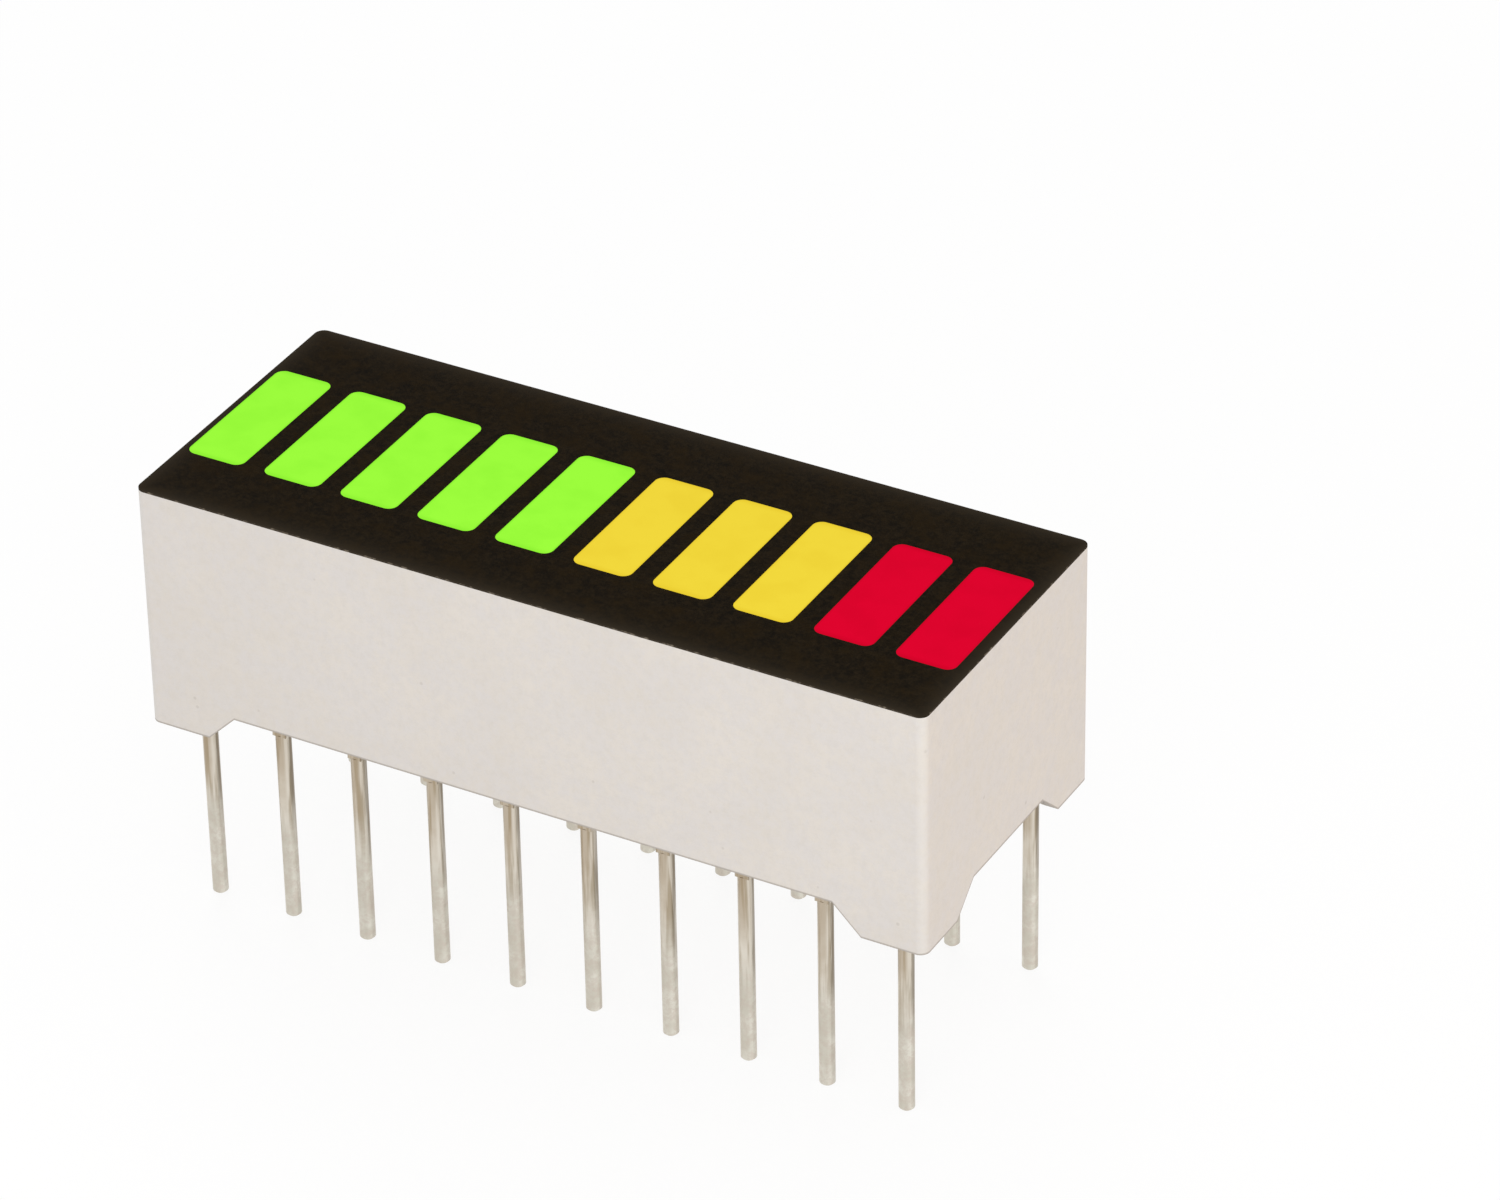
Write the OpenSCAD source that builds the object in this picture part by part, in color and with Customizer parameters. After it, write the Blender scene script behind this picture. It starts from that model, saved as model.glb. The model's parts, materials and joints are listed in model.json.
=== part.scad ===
// LED bar graph: a row of lit segments in a moulded housing that stands on two rows of wire pins.
// Millimetres. +X runs along the row, +Y across it and +Z up out of the face.
// The origin is the centre of the pin grid, on the plane of the foot bottoms.

/* [Segments] */
// Number of segments in the row
segment_count = 10; // [2:1:10]
// Distance from one segment, and from one pin, to the next
pitch = 2.54; // [2.3:0.02:4]
// Width of a segment along the row
segment_width = 1.85; // [1.4:0.05:2.1]
// Length of a segment across the row
segment_length = 5.1; // [3:0.1:6.5]
// Corner radius of a segment at the face
segment_corner = 0.3; // [0.15:0.05:0.6]
// Corner radius of a reflector cup where it meets the board
cup_floor_corner = 0.05; // [0.03:0.01:0.12]
// Depth of a reflector cup, from the face down to the board
cup_depth = 3.45; // [2.4:0.05:4.2]
// Offset of the row of segments from the pin grid, along the row
row_shift_x = -0.1; // [-0.2:0.05:0.2]
// Offset of the row of segments from the pin grid, across the row
row_shift_y = -0.07; // [-0.3:0.01:0.3]

/* [Housing] */
// Height from the foot bottoms to the face
body_height = 7.9; // [7:0.1:11]
// Thickness of the side and end walls
wall = 0.5; // [0.4:0.05:0.6]
// Radius of the upright outer corners
corner_radius = 0.3; // [0.1:0.05:0.5]
// Radius of the upright corners of the pocket for the board
pocket_corner = 0.25; // [0.15:0.05:0.5]
// Gap left between two displays that stand end to end at the same pitch
stack_gap = 0.1; // [0.05:0.05:0.3]
// Thickness of the black layer on the face
face_thickness = 0.05; // [0.03:0.01:0.2]

/* [Feet] */
// Height of the lower rim above the foot bottoms
foot_height = 0.9; // [0.5:0.1:1.4]
// Length of a foot along a side wall
foot_length = 2; // [1.2:0.1:3]
// Length of the slope from a foot up to the rim of a side wall
foot_length_slope = 0.9; // [0.4:0.1:2]
// Length of a foot along an end wall
foot_width = 1.9; // [1.2:0.1:2.4]
// Length of the slope from a foot up to the rim of an end wall
foot_width_slope = 1; // [0.4:0.1:1.8]

/* [Pins] */
// Distance between the two rows of pins
row_spacing = 7.62; // [7:0.02:12.7]
// Diameter of the round tail of a pin
pin_diameter = 0.47; // [0.4:0.01:0.6]
// Length of the round tail below the foot bottoms
pin_length = 6.35; // [3:0.05:12]
// Chamfer around the tip of a pin
pin_chamfer = 0.06; // [0.02:0.01:0.15]
// Side of the square part of a pin that is held in the board
shank_side = 0.44; // [0.35:0.01:0.6]

/* [Circuit board] */
// Thickness of the board without its copper
board_thickness = 1; // [0.6:0.1:1.2]
// Gap between the board and the walls of its pocket
board_clearance = 0.05; // [0.02:0.01:0.1]
// Thickness of the copper on both sides of the board
copper = 0.035; // [0.02:0.005:0.1]
// Thickness of the copper that lines a pin hole
plating = 0.03; // [0.02:0.005:0.05]
// Width of the copper ring around a pin hole
pad_ring = 0.15; // [0.1:0.01:0.2]
// Width of bare board between a copper ring and the long edge of the board
pad_edge = 0.04; // [0.02:0.01:0.3]
// Width of a copper track
track_width = 0.5; // [0.3:0.05:0.8]

/* [Solder] */
// Gap between a shank corner and the lining of its hole, filled with solder
solder_gap = 0.109; // [0.08:0.001:0.16]
// Width of copper ring left bare around a solder fillet
solder_inset = 0.08; // [0.03:0.01:0.12]
// Height of a solder fillet under the board
fillet_height = 0.5; // [0.2:0.05:0.9]
// Thickness of solder over a shank corner at the thin end of a fillet
fillet_lip = 0.03; // [0.02:0.01:0.06]

/* [Potting] */
// Depth of the potting behind the lower rim
potting_recess = 0.3; // [0.1:0.05:0.6]
// Radius of the epoxy that creeps along a pin, where it leaves the potting
creep_radius = 0.55; // [0.45:0.05:0.65]
// Length of the epoxy that creeps along a pin
creep_height = 0.35; // [0.1:0.05:0.6]
// Thickness of the creeping epoxy over a shank corner at its thin end
creep_lip = 0.03; // [0.02:0.01:0.06]

/* [Dies and wires] */
// Side of a square die
die_side = 0.3; // [0.2:0.02:0.5]
// Height of a die
die_height = 0.2; // [0.1:0.02:0.4]
// Width of the square copper pad under a die
die_pad = 0.7; // [0.55:0.05:1]
// Width of the square copper pad that a bond wire lands on
wire_pad = 0.5; // [0.3:0.05:0.8]
// Gap between the pad of a die and the pad of its bond wire
pad_gap = 0.3; // [0.15:0.05:0.5]
// Diameter of a bond wire
wire_diameter = 0.05; // [0.03:0.01:0.1]

/* [Hidden] */
$fn = 48;
// overshoot of a cutter past the face that it opens
over = 0.1;
// overshoot of a cup or a foot gap as a share of its height, so that its slopes run on
over_share = 0.04;
// height over which the round tail of a pin runs up around its square shank
tail_overlap = 0.02;
// angle by which a bond wire is drawn into the pieces that it ends on, before it is trimmed
wire_sink = 8;

// microns in a millimetre
microns = 1000;

// copper, solder and hole radii around a pin, from the corners of the shank outwards, in whole microns
shank_reach = round(microns * shank_side / sqrt(2)) / microns;
barrel_radius = shank_reach + solder_gap;
hole_radius = barrel_radius + plating;
pad_radius = hole_radius + pad_ring;
fillet_radius = pad_radius - solder_inset;

// outlines of the pocket, the board and the body
body_length = segment_count * pitch - stack_gap;
pocket_length = body_length - 2 * wall;
pocket_width = row_spacing + 2 * (pad_radius + pad_edge + board_clearance);
body_width = pocket_width + 2 * wall;
board_length = pocket_length - 2 * board_clearance;
board_width = pocket_width - 2 * board_clearance;
board_corner = pocket_corner - board_clearance;

// heights above the foot bottoms
reflector_top = body_height - face_thickness;
cup_floor = body_height - cup_depth;
board_top = cup_floor - copper;
board_bottom = board_top - board_thickness;
pad_bottom = board_bottom - copper;
potting_bottom = foot_height + potting_recess;

// a cup leans in by the same amount on all sides, so that its corners are cones
cup_lean = segment_corner - cup_floor_corner;

// a bond wire is an arc that rises straight from its pad and comes down on the middle of its die
wire_span = die_pad / 2 + pad_gap + wire_pad / 2;
wire_radius = (wire_span * wire_span + die_height * die_height) / (2 * wire_span);
wire_landing = asin(die_height / wire_radius);

// colours of the row, in order along +X
green_segments = 5;
yellow_segments = 3;
green = [0.62, 1, 0.24];
yellow = [0.94, 0.84, 0.24];
red = [0.85, 0.01, 0.18];
first_red = green_segments + yellow_segments + 1;
function segment_colour(i) = i <= green_segments ? green : i < first_red ? yellow : red;

// places of the columns, segments and pins, numbered from 1
pin_count = 2 * segment_count;
function column_x(i) = (i - (segment_count + 1) / 2) * pitch;
function segment_x(i) = column_x(i) + row_shift_x;
function pin_x(i) = i <= segment_count ? column_x(i) : column_x(pin_count + 1 - i);
function pin_y(i) = i <= segment_count ? -row_spacing / 2 : row_spacing / 2;

function numbered(name, i) = str(name, i < 10 ? "_0" : "_", i);

// Shapes shared by several pieces

module rounded_rectangle(length, width, radius) {
    square([length - 2 * radius, width], center = true);
    square([length, width - 2 * radius], center = true);
    for (x = [-1, 1], y = [-1, 1])
        translate([x * (length / 2 - radius), y * (width / 2 - radius)]) circle(radius);
}

module slab(bottom, top, length, width, radius) {
    translate([0, 0, bottom])
        linear_extrude(top - bottom) rounded_rectangle(length, width, radius);
}

module cone(bottom, top, bottom_radius, top_radius) {
    rotate_extrude() polygon([[0, bottom], [bottom_radius, bottom], [top_radius, top], [0, top]]);
}

module upright(bottom, top, radius) {
    cone(bottom, top, radius, radius);
}

// a bar that runs along Y, with the same slope on both sides
module sloped_bar(bottom, top, half_bottom, half_top, length) {
    section = [[-half_bottom, bottom], [half_bottom, bottom], [half_top, top], [-half_top, top]];
    translate([0, length / 2, 0]) rotate([90, 0, 0]) linear_extrude(length) polygon(section);
}

module at_segment(i) {
    translate([segment_x(i), row_shift_y, 0]) children();
}

module at_pins(first, last) {
    for (i = [first : last]) translate([pin_x(i), pin_y(i), 0]) children();
}

// the inside of one reflector cup from the board up to the face, and past both by a share of its depth
module cup_space(share = 0) {
    bottom = cup_floor - share * cup_depth;
    top = body_height + share * cup_depth;
    bottom_lean = (1 + share) * cup_lean;
    top_lean = -share * cup_lean;
    half_width = segment_width / 2;
    half_length = segment_length / 2;
    corner_x = half_width - segment_corner;
    corner_y = half_length - segment_corner;
    sloped_bar(bottom, top, half_width - bottom_lean, half_width - top_lean, 2 * corner_y);
    rotate(90) sloped_bar(bottom, top, half_length - bottom_lean, half_length - top_lean, 2 * corner_x);
    for (x = [-1, 1], y = [-1, 1])
        translate([x * corner_x, y * corner_y, 0])
            cone(bottom, top, segment_corner - bottom_lean, segment_corner - top_lean);
}

module shank(top) {
    translate([-shank_side / 2, -shank_side / 2, 0]) cube([shank_side, shank_side, top]);
}

// solder that fills a lined hole and hangs around the shank as a fillet
module solder_joint() {
    rotate_extrude() polygon([
        [0, pad_bottom - fillet_height], [shank_reach + fillet_lip, pad_bottom - fillet_height],
        [fillet_radius, pad_bottom], [barrel_radius, pad_bottom],
        [barrel_radius, cup_floor], [0, cup_floor]
    ]);
}

module die(bottom) {
    translate([-die_side / 2, -die_side / 2, bottom])
        cube([die_side, die_side, cup_floor + die_height - bottom]);
}

module wire_arc() {
    translate([0, wire_radius - wire_span, cup_floor]) rotate([90, 0, 90]) rotate(wire_landing - wire_sink)
        rotate_extrude(angle = 180 - wire_landing + 2 * wire_sink)
            translate([wire_radius, 0]) circle(d = wire_diameter);
}

module board_outline() {
    rounded_rectangle(board_length, board_width, board_corner);
}

// copper on both sides of the board: a track to each pad, a lined hole and a ring below
module tracks(first, last, pad_width, pad_y) {
    difference() {
        union() {
            translate([0, 0, board_top]) linear_extrude(copper) intersection() {
                for (i = [first : last]) {
                    reach = abs(pad_y - pin_y(i));
                    middle = (pad_y + pin_y(i)) / 2;
                    translate([pin_x(i), pin_y(i)]) circle(pad_radius);
                    translate([pin_x(i), middle]) square([track_width, reach], center = true);
                    translate([pin_x(i) + row_shift_x, pad_y]) square(pad_width, center = true);
                }
                board_outline();
            }
            at_pins(first, last) upright(pad_bottom, cup_floor, hole_radius);
            translate([0, 0, pad_bottom]) linear_extrude(copper) intersection() {
                at_pins(first, last) circle(pad_radius);
                board_outline();
            }
        }
        at_pins(first, last) upright(pad_bottom - over, cup_floor + over, barrel_radius);
    }
}

// Pieces

module housing() {
    color([0.87, 0.85, 0.82]) difference() {
        slab(0, reflector_top, body_length, body_width, corner_radius);
        slab(-over, cup_floor, pocket_length, pocket_width, pocket_corner);
        foot_gap(body_length / 2 - foot_length, foot_length_slope, body_width + 2 * over);
        rotate(90) foot_gap(body_width / 2 - foot_width, foot_width_slope, body_length + 2 * over);
        for (i = [1 : segment_count]) at_segment(i) cup_space(over_share);
    }
}

// the gap between the feet of two opposite walls, with a slope up from each foot to the rim
module foot_gap(half_gap, slope, length) {
    bottom = -over_share * foot_height;
    sloped_bar(bottom, foot_height, half_gap + over_share * slope, half_gap - slope, length);
}

module face_layer() {
    color([0.14, 0.12, 0.09]) difference() {
        slab(reflector_top, body_height, body_length, body_width, corner_radius);
        for (i = [1 : segment_count]) at_segment(i) cup_space(over_share);
    }
}

module segment(i) {
    color(segment_colour(i)) at_segment(i) difference() {
        cup_space();
        die(cup_floor - over);
        wire_arc();
    }
}

module led_die(i) {
    color([0.9, 0.75, 0.3]) at_segment(i) die(cup_floor);
}

module bond_wire(i) {
    color([0.95, 0.78, 0.35]) at_segment(i) difference() {
        wire_arc();
        die(cup_floor);
        translate([-wire_pad / 2, -wire_span - wire_pad / 2, cup_floor - wire_pad])
            cube([wire_pad, wire_pad, wire_pad]);
    }
}

module circuit_board() {
    color([0.2, 0.42, 0.26]) difference() {
        translate([0, 0, board_bottom]) linear_extrude(board_thickness) board_outline();
        at_pins(1, pin_count) upright(board_bottom - over, board_top + over, hole_radius);
    }
}

module anode_tracks() {
    color([0.8, 0.5, 0.3]) tracks(1, segment_count, wire_pad, row_shift_y - wire_span);
}

module cathode_tracks() {
    color([0.8, 0.5, 0.3]) tracks(segment_count + 1, pin_count, die_pad, row_shift_y);
}

module solder_joints() {
    color([0.75, 0.75, 0.76]) at_pins(1, pin_count) difference() {
        solder_joint();
        shank(cup_floor + over);
    }
}

module potting() {
    color([0.8, 0.77, 0.7]) difference() {
        union() {
            slab(potting_bottom, board_bottom, pocket_length, pocket_width, pocket_corner);
            at_pins(1, pin_count) creep();
        }
        translate([0, 0, pad_bottom]) linear_extrude(copper + over) intersection() {
            at_pins(1, pin_count) circle(pad_radius);
            board_outline();
        }
        at_pins(1, pin_count) {
            solder_joint();
            shank(cup_floor);
        }
    }
}

// epoxy that creeps down a pin from the potting
module creep() {
    rotate_extrude() polygon([
        [0, potting_bottom - creep_height], [shank_reach + creep_lip, potting_bottom - creep_height],
        [creep_radius, potting_bottom], [creep_radius, potting_bottom + creep_lip],
        [0, potting_bottom + creep_lip]
    ]);
}

module pin(i) {
    radius = pin_diameter / 2;
    tip_radius = radius - pin_chamfer;
    color([0.8, 0.76, 0.7]) translate([pin_x(i), pin_y(i), 0]) {
        shank(cup_floor);
        rotate_extrude() polygon([
            [0, -pin_length], [tip_radius, -pin_length], [radius, pin_chamfer - pin_length],
            [radius, tail_overlap], [0, tail_overlap]
        ]);
    }
}

housing();
face_layer();
circuit_board();
anode_tracks();
cathode_tracks();
solder_joints();
potting();
for (i = [1 : segment_count]) {
    segment(i);
    led_die(i);
    bond_wire(i);
}
for (i = [1 : pin_count]) {
    pin(i);
}
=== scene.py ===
import json
import math
from dataclasses import dataclass

import bpy
from mathutils import Matrix, Vector


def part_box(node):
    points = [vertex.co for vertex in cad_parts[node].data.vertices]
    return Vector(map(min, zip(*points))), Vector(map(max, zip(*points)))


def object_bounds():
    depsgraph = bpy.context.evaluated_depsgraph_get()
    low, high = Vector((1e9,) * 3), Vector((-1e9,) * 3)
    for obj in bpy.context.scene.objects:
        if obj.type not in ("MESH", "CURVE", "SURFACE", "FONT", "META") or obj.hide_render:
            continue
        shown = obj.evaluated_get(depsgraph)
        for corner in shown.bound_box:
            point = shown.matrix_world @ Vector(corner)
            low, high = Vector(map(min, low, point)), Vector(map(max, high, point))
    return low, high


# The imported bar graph, which this script gives its materials, a floor, lamps and a camera
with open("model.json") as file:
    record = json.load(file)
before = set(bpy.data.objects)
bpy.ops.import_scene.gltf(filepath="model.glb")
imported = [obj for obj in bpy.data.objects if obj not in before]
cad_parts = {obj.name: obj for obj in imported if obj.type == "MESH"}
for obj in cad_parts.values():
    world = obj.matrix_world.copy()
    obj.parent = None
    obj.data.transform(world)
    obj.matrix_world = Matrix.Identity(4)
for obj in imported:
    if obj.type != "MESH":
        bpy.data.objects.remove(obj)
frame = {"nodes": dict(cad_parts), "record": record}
cad_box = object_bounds()

# Units
MM = 0.001
PER_METRE = 1000.0

# Camera, worked out from the corners of the body, the segments and the pins in the photograph
CAMERA_PLACE = Vector((87.00, -145.99, 114.88)) * MM
CAMERA_AZIMUTH = 29.47
CAMERA_ELEVATION = 32.90
CAMERA_ROLL = -1.05
CAMERA_LENS = 171.32
SENSOR_WIDTH = 36.0
NEAREST_SEEN = 0.01

# Surroundings and floor
WHITE = (1.0, 1.0, 1.0, 1.0)
WORLD_LEVEL = 0.72
FLOOR_SIZE = 6.0
FLOOR_COLOUR = (0.93, 0.93, 0.93, 1.0)
FLOOR_GLOW = 1.02
FLOOR_GLOW_SHARE = 0.85

# Width of a lamp, as a share of its distance
LAMP_SPREAD = 0.6

# Places in the part, in millimetres of its own frame
body_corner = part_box("housing")[1] * PER_METRE
HALF_LENGTH = body_corner.x
HALF_WIDTH = body_corner.y
FOOT_HEIGHT = 0.9
SIDE_FOOT = 2.0
SIDE_FOOT_SLOPE = 0.9
END_FOOT = 1.9
END_FOOT_SLOPE = 1.0

# The curve between the values of a screen colour and the light that they stand for
SCREEN_MOST = 255
CURVE_START = 0.04045
CURVE_SLOPE = 12.92
CURVE_OFFSET = 0.055
CURVE_POWER = 2.4


@dataclass
class Lamp:
    """A soft square lamp, with its distance from the middle of the part in metres.

    Its level is about the brightness that it gives a white surface there that faces it.
    """

    name: str
    azimuth: float
    elevation: float
    distance: float
    level: float
    colour: tuple


LAMPS = (
    Lamp("key", azimuth=24, elevation=34, distance=0.1, level=0.25, colour=(1.0, 0.995, 0.985)),
    Lamp("end_fill", azimuth=100, elevation=12, distance=0.5, level=0.125, colour=(1.0, 0.66, 0.38)),
    Lamp("back_fill", azimuth=215, elevation=30, distance=0.5, level=0.2, colour=(1.0, 1.0, 1.0)),
)


def screen(red, green, blue):
    """A screen colour from 0 to 255 as the linear colour that a shader takes."""

    def linear(value):
        share = value / SCREEN_MOST
        if share <= CURVE_START:
            return share / CURVE_SLOPE
        return ((share + CURVE_OFFSET) / (1 + CURVE_OFFSET)) ** CURVE_POWER

    return linear(red), linear(green), linear(blue), 1.0


class Surface:
    """A material of shader nodes around one Principled shader, with its places in millimetres."""

    # sockets of the colour mixer, which share their names with those of its other kinds
    MIX_SHARE, MIX_FIRST, MIX_SECOND, MIX_RESULT = 0, 6, 7, 2

    def __init__(self, name):
        self.material = bpy.data.materials.new(name)
        self.material.use_nodes = True
        self.tree = self.material.node_tree
        self.shader = self.tree.nodes["Principled BSDF"]
        self.coordinates = self.add("ShaderNodeTexCoord")
        self.place = self.scaled(self.coordinates.outputs["Object"], (PER_METRE, PER_METRE, PER_METRE))

    def add(self, kind, **settings):
        """Add a node of a kind, with the given settings."""
        node = self.tree.nodes.new(kind)
        for name, value in settings.items():
            setattr(node, name, value)
        return node

    def feed(self, socket, value):
        """Link another node's output to a socket, or set a plain value on it."""
        if isinstance(value, bpy.types.NodeSocket):
            self.tree.links.new(value, socket)
        else:
            socket.default_value = value

    def scaled(self, vector, factors):
        """A vector with each of its axes times its own factor."""
        node = self.add("ShaderNodeVectorMath", operation="MULTIPLY")
        self.feed(node.inputs[0], vector)
        self.feed(node.inputs[1], factors)
        return node.outputs["Vector"]

    def axes(self, vector=None):
        """The three numbers of a vector, or of the place in the part if none is given."""
        node = self.add("ShaderNodeSeparateXYZ")
        self.feed(node.inputs["Vector"], vector or self.place)
        return node.outputs["X"], node.outputs["Y"], node.outputs["Z"]

    def box_shares(self):
        """The place as shares from 0 to 1 of the length, width and height of the piece's own box."""
        return self.axes(self.coordinates.outputs["Generated"])

    def math(self, operation, first, second=0.0):
        """One step of arithmetic."""
        node = self.add("ShaderNodeMath", operation=operation)
        self.feed(node.inputs[0], first)
        self.feed(node.inputs[1], second)
        return node.outputs["Value"]

    def noise(self, per_mm, detail=2.0, fineness=0.5, stretch=(1.0, 1.0, 1.0)):
        """Random patches, with finer ones on top of them whose strength is the fineness."""
        node = self.add("ShaderNodeTexNoise")
        self.feed(node.inputs["Vector"], self.scaled(self.place, stretch))
        self.feed(node.inputs["Scale"], per_mm)
        self.feed(node.inputs["Detail"], detail)
        self.feed(node.inputs["Roughness"], fineness)
        return node.outputs["Fac"]

    def cells(self, per_mm):
        """The distance to the nearest of many scattered points, as a share of their spacing."""
        node = self.add("ShaderNodeTexVoronoi")
        self.feed(node.inputs["Vector"], self.place)
        self.feed(node.inputs["Scale"], per_mm)
        return node.outputs["Distance"]

    def wave(self, per_mm, direction):
        """Even stripes that follow each other in a direction."""
        node = self.add("ShaderNodeTexWave", bands_direction=direction)
        self.feed(node.inputs["Vector"], self.place)
        self.feed(node.inputs["Scale"], per_mm)
        return node.outputs["Fac"]

    def band(self, value, none, full, most=1.0):
        """A share that rises smoothly from 0 where the value is none to most where it is full."""
        node = self.add("ShaderNodeMapRange", interpolation_type="SMOOTHSTEP")
        self.feed(node.inputs["Value"], value)
        self.feed(node.inputs["From Min"], none)
        self.feed(node.inputs["From Max"], full)
        self.feed(node.inputs["To Max"], most)
        return node.outputs["Result"]

    def blend(self, share, first, second):
        """The first colour with a share of the second one in it."""
        node = self.add("ShaderNodeMix", data_type="RGBA")
        self.feed(node.inputs[self.MIX_SHARE], share)
        self.feed(node.inputs[self.MIX_FIRST], first)
        self.feed(node.inputs[self.MIX_SECOND], second)
        return node.outputs[self.MIX_RESULT]

    def spread(self, value, low, high):
        """A value from 0 to 1, spread between two plain numbers."""
        node = self.add("ShaderNodeMapRange")
        self.feed(node.inputs["Value"], value)
        self.feed(node.inputs["To Min"], low)
        self.feed(node.inputs["To Max"], high)
        return node.outputs["Result"]

    def rim_distance(self, share):
        """How far a place from 0 to 1 across a piece lies from the nearer of its two ends."""
        return self.math("MINIMUM", share, self.math("SUBTRACT", 1.0, share))

    def relief(self, height, depth):
        """Relief of the given depth in millimetres, from a height between 0 and 1."""
        node = self.add("ShaderNodeBump")
        self.feed(node.inputs["Distance"], depth * MM)
        self.feed(node.inputs["Height"], height)
        self.feed(self.shader.inputs["Normal"], node.outputs["Normal"])

    def finish(self, **values):
        """Set the shader's inputs, named in lower case with low lines, and return the material."""
        for name, value in values.items():
            words = name.replace("_", " ").title().replace("Ior", "IOR")
            self.feed(self.shader.inputs[words], value)
        return self.material


# Materials


def edge_distances(s, x, y):
    """How far a place lies in from the ends and from the long sides of the body."""
    from_end = s.math("SUBTRACT", HALF_LENGTH, s.math("ABSOLUTE", x))
    from_side = s.math("SUBTRACT", HALF_WIDTH, s.math("ABSOLUTE", y))
    return from_end, from_side


def lower_rim(s, place, half_length, foot, slope):
    """The height of the lower rim of a wall, at a place along it from its middle."""
    node = s.add("ShaderNodeMapRange")
    s.feed(node.inputs["Value"], s.math("ABSOLUTE", place))
    s.feed(node.inputs["From Min"], half_length - foot)
    s.feed(node.inputs["From Max"], half_length - foot - slope)
    s.feed(node.inputs["To Max"], FOOT_HEIGHT)
    return node.outputs["Result"]


def housing_plastic():
    """Warm grey moulded plastic with faint clouds and tints, a fine grain and a few specks.

    A painted highlight makes its upright corners a little paler, and painted shade gives its lower edges
    a thin dark line.
    """
    warm_grey = screen(223, 216, 208)
    pale_grey = screen(227, 220, 212)
    cool_grey = screen(222, 217, 214)
    grain_brown = screen(209, 202, 193)
    speck_brown = screen(168, 158, 146)
    # Painted highlight colour for the upright corners
    corner_highlight_white = screen(236, 235, 230)
    # Painted shade colour for the lower edges
    rim_shade_brown = screen(140, 130, 118)
    s = Surface("housing_plastic")
    x, y, z = s.axes()
    clouds = s.band(s.noise(per_mm=0.28, detail=4), none=0.36, full=0.64)
    tint = s.noise(per_mm=0.9, detail=5, fineness=0.9)
    grain = s.noise(per_mm=3, detail=5, fineness=0.9)
    specks = s.band(s.cells(per_mm=0.85), none=0.06, full=0.03, most=0.25)
    # Share of painted highlight, strongest on the upright corners
    corner = s.band(s.math("MAXIMUM", *edge_distances(s, x, y)), none=0.3, full=0.1, most=0.27)
    side_rim = lower_rim(s, x, HALF_LENGTH, SIDE_FOOT, SIDE_FOOT_SLOPE)
    end_rim = lower_rim(s, y, HALF_WIDTH, END_FOOT, END_FOOT_SLOPE)
    above_rim = s.math("SUBTRACT", z, s.math("MAXIMUM", side_rim, end_rim))
    colour = s.blend(clouds, warm_grey, pale_grey)
    colour = s.blend(s.band(tint, none=0.38, full=0.62, most=0.8), colour, cool_grey)
    colour = s.blend(s.band(grain, none=0.4, full=0.7, most=0.36), colour, grain_brown)
    colour = s.blend(specks, colour, speck_brown)
    # Painted highlight: the upright corners made paler
    colour = s.blend(corner, colour, corner_highlight_white)
    # Painted shade: a thin dark line along the lower edges
    colour = s.blend(s.band(above_rim, none=0.08, full=0.02, most=0.6), colour, rim_shade_brown)
    s.relief(grain, depth=0.004)
    roughness = s.spread(clouds, low=0.5, high=0.62)
    return s.finish(base_color=colour, roughness=roughness, specular_ior_level=0.3)


def face_ink():
    """Matt black print with a brown speckle, thinner and browner towards its finely worn edge."""
    black = screen(13, 9, 4)
    speckle_brown = screen(37, 29, 17)
    cloud_brown = screen(36, 25, 6)
    thin_brown = screen(50, 43, 33)
    worn_grey = screen(122, 112, 98)
    thinness_left_per_mm = 0.04
    s = Surface("face_ink")
    x, y, _ = s.axes()
    from_edge = s.math("MINIMUM", *edge_distances(s, x, y))
    speckle = s.noise(per_mm=5, detail=4, fineness=0.9)
    clouds = s.noise(per_mm=0.9, detail=4, fineness=0.8)
    thinness = s.math("POWER", thinness_left_per_mm, from_edge)
    wear_depth = s.band(s.noise(per_mm=5, detail=5), none=0.46, full=0.74, most=0.04)
    worn = s.band(s.math("SUBTRACT", from_edge, wear_depth), none=0.01, full=-0.05)
    colour = s.blend(s.band(speckle, none=0.36, full=0.68), black, speckle_brown)
    colour = s.blend(s.band(clouds, none=0.4, full=0.7, most=0.6), colour, cloud_brown)
    colour = s.blend(thinness, colour, thin_brown)
    colour = s.blend(worn, colour, worn_grey)
    s.relief(speckle, depth=0.003)
    roughness = s.spread(speckle, low=0.6, high=0.8)
    return s.finish(base_color=colour, roughness=roughness, specular_ior_level=0.015)


def segment_epoxy(name, bright, deep):
    """Tinted diffusing epoxy, deeper along its rim and in faint clouds, with a faint light of its own."""
    s = Surface(name)
    along, across, _ = s.box_shares()
    from_rim = s.math("MINIMUM", s.rim_distance(along), s.rim_distance(across))
    clouds = s.noise(per_mm=0.9, detail=3)
    grain = s.noise(per_mm=18, detail=2)
    colour = s.blend(s.band(clouds, none=0.4, full=0.7, most=0.3), bright, deep)
    colour = s.blend(s.band(from_rim, none=0.05, full=0.0, most=0.8), colour, deep)
    s.relief(grain, depth=0.002)
    roughness = s.spread(grain, low=0.42, high=0.6)
    return s.finish(
        base_color=colour, roughness=roughness, specular_ior_level=0.001,
        emission_color=colour, emission_strength=0.05,
    )


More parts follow.
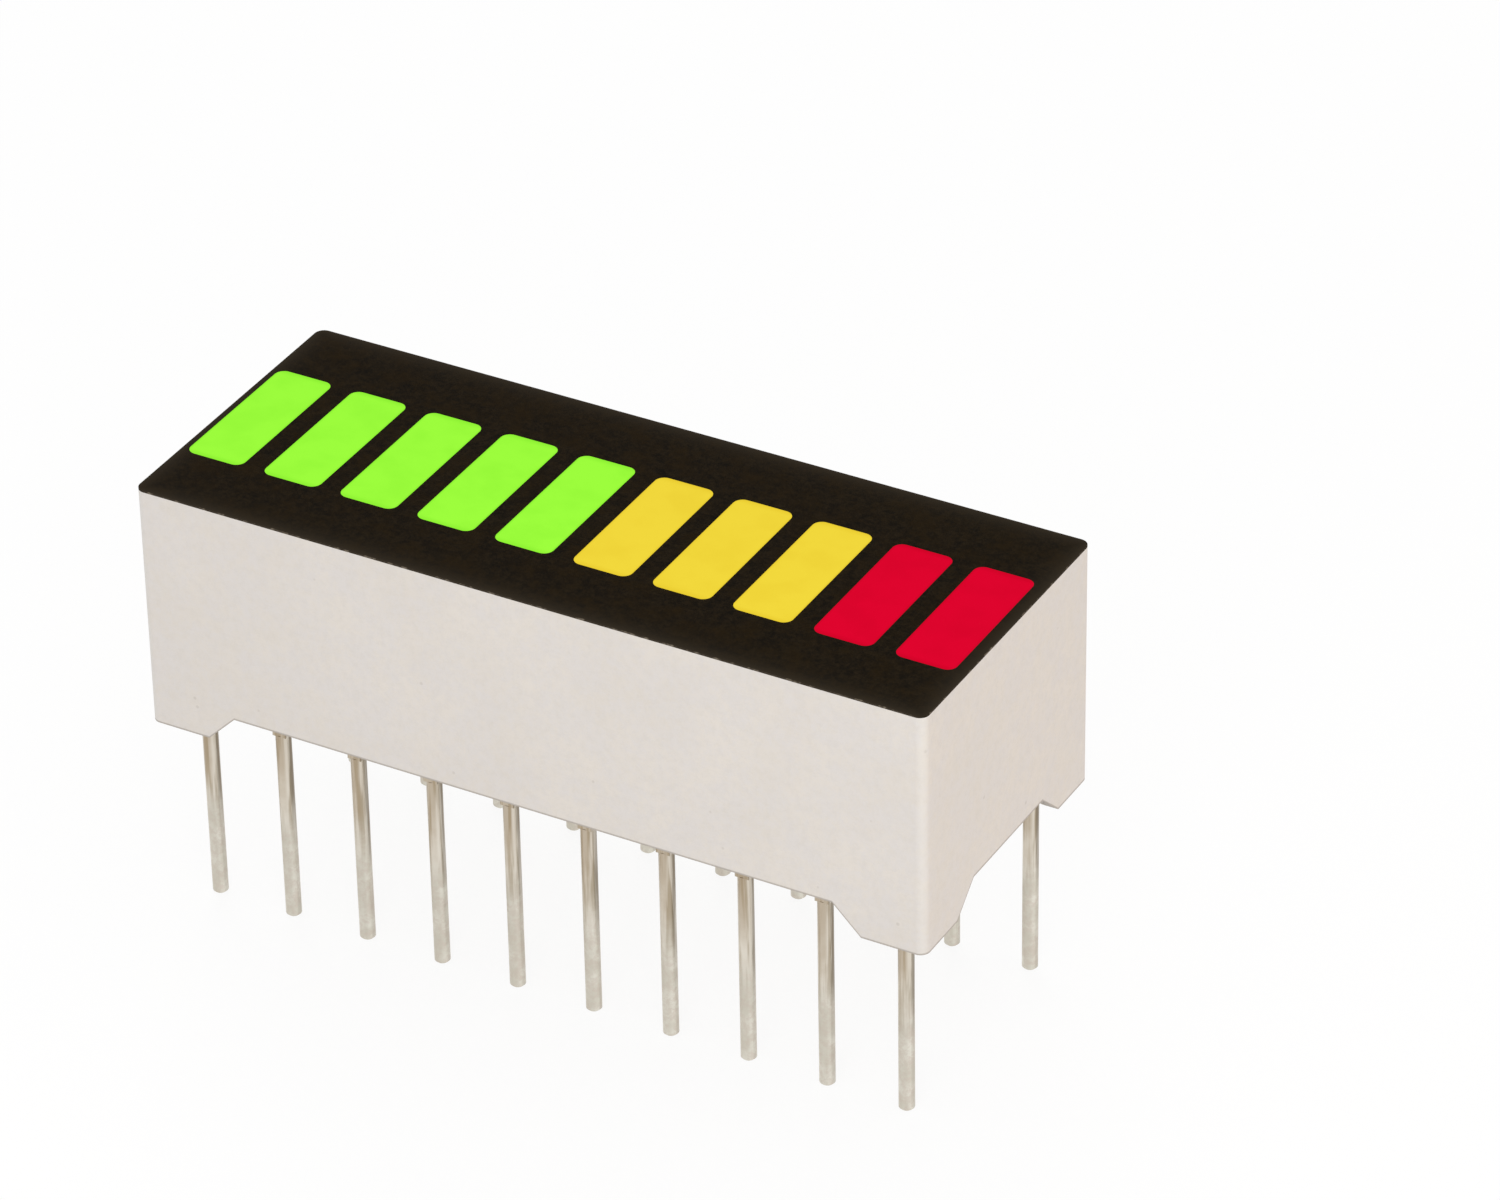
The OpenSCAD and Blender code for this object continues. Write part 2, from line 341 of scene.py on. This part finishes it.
def tinned_wire():
    """Drawn wire with lengthwise streaks, brown near the body and dull towards its tip.

    Painted shade makes it brownest in front and behind and darkens the flanks that face the next pins of
    the row.
    """
    streak_brown = screen(178, 166, 146)
    streak_pale = screen(232, 226, 214)
    # Colour of the brown near the body, which also carries the painted shade in front and behind
    stain_and_shade_brown = screen(166, 146, 118)
    dull_grey = screen(212, 208, 195)
    dull_pale = screen(228, 225, 214)
    fleck_brown = screen(207, 195, 183)
    # Painted shade colour for the front and back of the dull tip
    front_shade_grey = screen(190, 182, 168)
    # Painted shade colour for the flanks
    flank_shade_brown = screen(84, 73, 58)
    lengthwise = (1.0, 1.0, 0.05)
    s = Surface("tinned_wire")
    _, _, z = s.axes()
    along, across, _ = s.box_shares()
    # Painted shade: a share that is full on the faces in front and behind
    front_and_back_shade = s.band(s.rim_distance(across), none=0.14, full=0.02)
    streaks = s.noise(per_mm=7, detail=3, stretch=lengthwise)
    patches = s.noise(per_mm=1.3, detail=4)
    flecks = s.noise(per_mm=4, detail=4, fineness=0.8)

    bare = s.blend(s.band(streaks, none=0.38, full=0.6), streak_brown, streak_pale)
    stain_height = s.math("ADD", z, s.spread(patches, low=-1.5, high=1.5))
    stain_and_shade = s.band(stain_height, none=-3.8, full=-0.6, most=0.55)
    # Painted shade: the brown near the body made stronger in front and behind
    stain_and_shade = s.math("MULTIPLY", stain_and_shade, s.spread(front_and_back_shade, low=0.5, high=1.2))
    bare = s.blend(stain_and_shade, bare, stain_and_shade_brown)

    dull = s.blend(s.band(patches, none=0.38, full=0.66), dull_grey, dull_pale)
    dull = s.blend(s.band(flecks, none=0.4, full=0.62, most=0.6), dull, fleck_brown)
    # Painted shade: the dull tip made greyer in front and behind
    dull = s.blend(s.spread(front_and_back_shade, low=0.0, high=0.3), dull, front_shade_grey)

    ragged = s.spread(s.noise(per_mm=0.5, detail=4), low=-1.0, high=1.0)
    dipped = s.band(s.math("ADD", z, ragged), none=-1.8, full=-4.0)
    colour = s.blend(dipped, bare, dull)

    # Painted shade: the flanks that face the next pins of the row made darker
    inwards = s.math("ADD", s.rim_distance(along), s.spread(streaks, low=-0.09, high=0.09))
    flank_shade = s.band(inwards, none=0.08, full=0.0)
    flank_shade = s.math("MULTIPLY", flank_shade, s.spread(dipped, low=0.55, high=0.16))
    colour = s.blend(flank_shade, colour, flank_shade_brown)

    s.relief(streaks, depth=0.004)
    roughness = s.spread(dipped, low=0.3, high=0.5)
    return s.finish(base_color=colour, roughness=roughness, metallic=1.0)


def board_laminate():
    """Green glass laminate with its weave showing through."""
    resin_green = screen(44, 96, 58)
    weave_green = screen(66, 124, 78)
    cloud_green = screen(38, 84, 52)
    weave_per_mm = 1.4
    s = Surface("board_laminate")
    weave = s.math("MULTIPLY", s.wave(weave_per_mm, direction="X"), s.wave(weave_per_mm, direction="Y"))
    clouds = s.noise(per_mm=0.6, detail=3)
    colour = s.blend(weave, resin_green, weave_green)
    colour = s.blend(s.band(clouds, none=0.45, full=0.7, most=0.4), colour, cloud_green)
    s.relief(weave, depth=0.006)
    roughness = s.spread(clouds, low=0.35, high=0.55)
    return s.finish(base_color=colour, roughness=roughness, specular_ior_level=0.4)


def plain_metal(name, bright, dark, low, high):
    """Metal with cloudy tarnish and a fine grain, whose roughness runs from low to high."""
    s = Surface(name)
    tarnish = s.noise(per_mm=1.8, detail=5)
    grain = s.noise(per_mm=24, detail=2)
    colour = s.blend(s.band(tarnish, none=0.45, full=0.7), bright, dark)
    s.relief(grain, depth=0.002)
    return s.finish(base_color=colour, roughness=s.spread(tarnish, low, high), metallic=1.0)


def crystal_die():
    """Amber crystal with a round gold contact on its top."""
    amber = screen(196, 160, 62)
    pale_amber = screen(222, 196, 104)
    gold = screen(240, 206, 116)
    middle = 0.5
    s = Surface("crystal_die")
    along, across, up = s.box_shares()
    offsets = [s.math("SUBTRACT", share, middle) for share in (along, across)]
    squares = [s.math("MULTIPLY", offset, offset) for offset in offsets]
    radius = s.math("SQRT", s.math("ADD", *squares))
    disc = s.band(radius, none=0.29, full=0.26)
    contact = s.math("MULTIPLY", disc, s.band(up, none=0.9, full=0.95))
    grain = s.noise(per_mm=30, detail=3)
    crystal = s.blend(s.band(grain, none=0.4, full=0.7), amber, pale_amber)
    colour = s.blend(contact, crystal, gold)
    roughness = s.spread(grain, low=0.15, high=0.3)
    return s.finish(base_color=colour, roughness=roughness, metallic=contact)


def potting_epoxy():
    """Cloudy beige epoxy with small bubbles under a glossy skin."""
    beige = screen(198, 189, 172)
    pale_beige = screen(214, 207, 192)
    bubble_white = screen(226, 221, 210)
    s = Surface("potting_epoxy")
    clouds = s.noise(per_mm=0.5, detail=4)
    bubbles = s.band(s.cells(per_mm=1.6), none=0.2, full=0.1)
    colour = s.blend(s.band(clouds, none=0.35, full=0.7), beige, pale_beige)
    colour = s.blend(s.spread(bubbles, low=0.0, high=0.5), colour, bubble_white)
    s.relief(bubbles, depth=0.015)
    roughness = s.spread(clouds, low=0.22, high=0.38)
    return s.finish(base_color=colour, roughness=roughness, specular_ior_level=0.5)


def make_materials():
    """One material for each slot of the record."""
    return {
        "housing": housing_plastic(),
        "face": face_ink(),
        "segment_green": segment_epoxy(
            "epoxy_green", bright=screen(157, 254, 61), deep=screen(140, 240, 50)
        ),
        "segment_yellow": segment_epoxy(
            "epoxy_yellow", bright=screen(241, 216, 60), deep=screen(232, 203, 48)
        ),
        "segment_red": segment_epoxy(
            "epoxy_red", bright=screen(221, 3, 45), deep=screen(205, 2, 38)
        ),
        "board": board_laminate(),
        "copper": plain_metal(
            "track_copper", bright=screen(214, 140, 90), dark=screen(160, 92, 58), low=0.25, high=0.45
        ),
        "solder": plain_metal(
            "solder_alloy", bright=screen(200, 200, 202), dark=screen(164, 164, 168), low=0.2, high=0.4
        ),
        "die": crystal_die(),
        "bond_wire": plain_metal(
            "gold_wire", bright=screen(246, 208, 108), dark=screen(224, 180, 84), low=0.12, high=0.25
        ),
        "potting": potting_epoxy(),
        "pins": tinned_wire(),
    }


def dress_nodes(materials):
    """Give each node of the part the material of its slot in the record."""
    for subpart in frame["record"]["subparts"]:
        mesh = frame["nodes"][subpart["node"]].data
        mesh.materials.clear()
        mesh.materials.append(materials[subpart["material_slot"]])


# Studio


def direction(azimuth, elevation):
    """The way from the part towards a lamp or the camera. Azimuth 0 is in front and 90 to the right."""
    turn = math.radians(azimuth)
    lift = math.radians(elevation)
    level = math.cos(lift)
    return Vector((math.sin(turn) * level, -math.cos(turn) * level, math.sin(lift)))


def seen_ray(tree):
    """1 for rays that show a surface itself, directly or in gloss or glass, and 0 for rays that light."""
    path = tree.nodes.new("ShaderNodeLightPath")
    seen = path.outputs["Is Camera Ray"]
    for name in ("Is Glossy Ray", "Is Transmission Ray"):
        either = tree.nodes.new("ShaderNodeMath")
        either.operation = "MAXIMUM"
        tree.links.new(seen, either.inputs[0])
        tree.links.new(path.outputs[name], either.inputs[1])
        seen = either.outputs["Value"]
    return seen


def build_world():
    """White surroundings, which light the part a little less brightly than they look."""
    world = bpy.data.worlds.new("surroundings")
    world.use_nodes = True
    tree = world.node_tree
    strength = tree.nodes.new("ShaderNodeMapRange")
    strength.inputs["To Min"].default_value = WORLD_LEVEL
    strength.inputs["To Max"].default_value = 1.0
    tree.links.new(seen_ray(tree), strength.inputs["Value"])
    background = tree.nodes["Background"]
    background.inputs["Color"].default_value = WHITE
    tree.links.new(strength.outputs["Result"], background.inputs["Strength"])
    bpy.context.scene.world = world


def floor_material():
    """White paper that keeps a faint shadow of the part."""
    material = bpy.data.materials.new("floor_paper")
    material.use_nodes = True
    tree = material.node_tree
    output = tree.nodes["Material Output"]
    tree.nodes.remove(tree.nodes["Principled BSDF"])
    paper = tree.nodes.new("ShaderNodeBsdfDiffuse")
    paper.inputs["Color"].default_value = FLOOR_COLOUR
    glow = tree.nodes.new("ShaderNodeEmission")
    glow.inputs["Color"].default_value = WHITE
    glow.inputs["Strength"].default_value = FLOOR_GLOW
    share = tree.nodes.new("ShaderNodeMath")
    share.operation = "MULTIPLY"
    share.inputs[1].default_value = FLOOR_GLOW_SHARE
    tree.links.new(seen_ray(tree), share.inputs[0])
    mix = tree.nodes.new("ShaderNodeMixShader")
    tree.links.new(share.outputs["Value"], mix.inputs["Fac"])
    tree.links.new(paper.outputs["BSDF"], mix.inputs[1])
    tree.links.new(glow.outputs["Emission"], mix.inputs[2])
    tree.links.new(mix.outputs["Shader"], output.inputs["Surface"])
    return material


def build_floor():
    """A floor under the tips of the pins."""
    bpy.ops.mesh.primitive_plane_add(size=FLOOR_SIZE, location=(0.0, 0.0, cad_box[0].z))
    floor = bpy.context.object
    floor.name = "floor"
    floor.data.materials.append(floor_material())


def build_lamps():
    """The soft lamps around the part, all aimed at its middle."""
    middle = (cad_box[0] + cad_box[1]) / 2
    for lamp in LAMPS:
        light = bpy.data.lights.new(lamp.name, "AREA")
        light.size = LAMP_SPREAD * lamp.distance
        light.color = lamp.colour
        light.energy = lamp.level * (math.pi * lamp.distance) ** 2
        holder = bpy.data.objects.new(lamp.name, light)
        away = direction(lamp.azimuth, lamp.elevation)
        holder.location = middle + lamp.distance * away
        holder.rotation_euler = away.to_track_quat("Z", "Y").to_euler()
        bpy.context.scene.collection.objects.link(holder)


def build_camera():
    """A camera where the photograph was taken, turned and rolled as it was."""
    back = direction(CAMERA_AZIMUTH, CAMERA_ELEVATION)
    level_right = Vector((0.0, 0.0, 1.0)).cross(back).normalized()
    level_up = back.cross(level_right)
    roll = math.radians(CAMERA_ROLL)
    right = math.cos(roll) * level_right + math.sin(roll) * level_up
    up = math.cos(roll) * level_up - math.sin(roll) * level_right
    data = bpy.data.cameras.new("camera")
    data.sensor_fit = "HORIZONTAL"
    data.sensor_width = SENSOR_WIDTH
    data.lens = CAMERA_LENS
    data.clip_start = NEAREST_SEEN
    camera = bpy.data.objects.new("camera", data)
    turned = Matrix((right, up, back)).transposed().to_4x4()
    camera.matrix_world = Matrix.Translation(CAMERA_PLACE) @ turned
    bpy.context.scene.collection.objects.link(camera)
    bpy.context.scene.camera = camera


bpy.context.scene.view_settings.view_transform = "Standard"
dress_nodes(make_materials())
build_world()
build_floor()
build_lamps()
build_camera()
